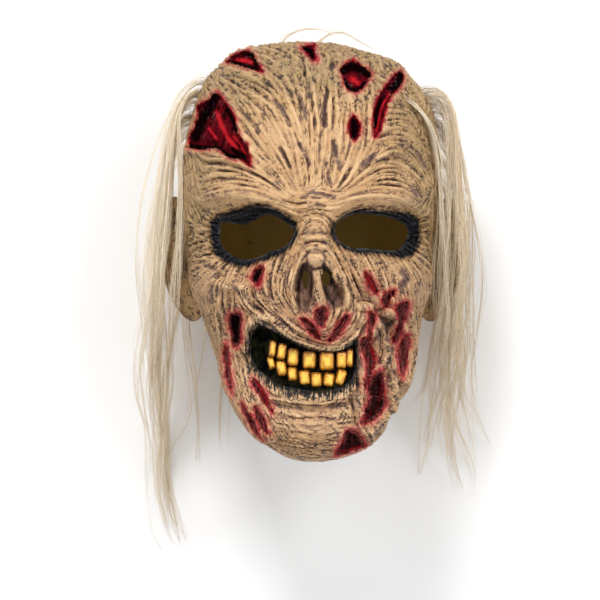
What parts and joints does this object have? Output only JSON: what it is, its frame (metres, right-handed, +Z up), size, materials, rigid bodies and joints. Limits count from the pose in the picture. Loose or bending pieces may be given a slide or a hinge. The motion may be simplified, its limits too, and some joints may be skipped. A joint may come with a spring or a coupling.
{
  "type": "zombie mask",
  "caption": "Hollow full-head rubber mask of a rotting, wounded face with open eye holes, worn teeth and long straggly hair at both sides, lying on its back.",
  "frame": {"origin": "middle of the footprint, on the surface that the mask lies on", "axes": "+Y towards the crown of the head, +X to the right of the face as seen from the front, +Z up out of the face"},
  "size_m": [0.2482, 0.3482, 0.202],
  "materials": {
    "skin": "satin painted latex, tan with dark wash and glossy red wounds",
    "hair": "dull pale blond synthetic fibre"
  },
  "bodies": {
    "root": {"mask_shell": "skin", "hair_right_temple": "hair", "hair_right_crown": "hair", "hair_right_side": "hair", "hair_right_ear": "hair", "hair_right_back": "hair", "hair_right_nape": "hair", "hair_left_crown": "hair", "hair_left_side": "hair", "hair_left_ear": "hair", "hair_left_back": "hair", "hair_left_nape": "hair", "hair_left_neck": "hair", "hair_crown_left": "hair", "hair_crown_right": "hair"}
  },
  "joints": []
}
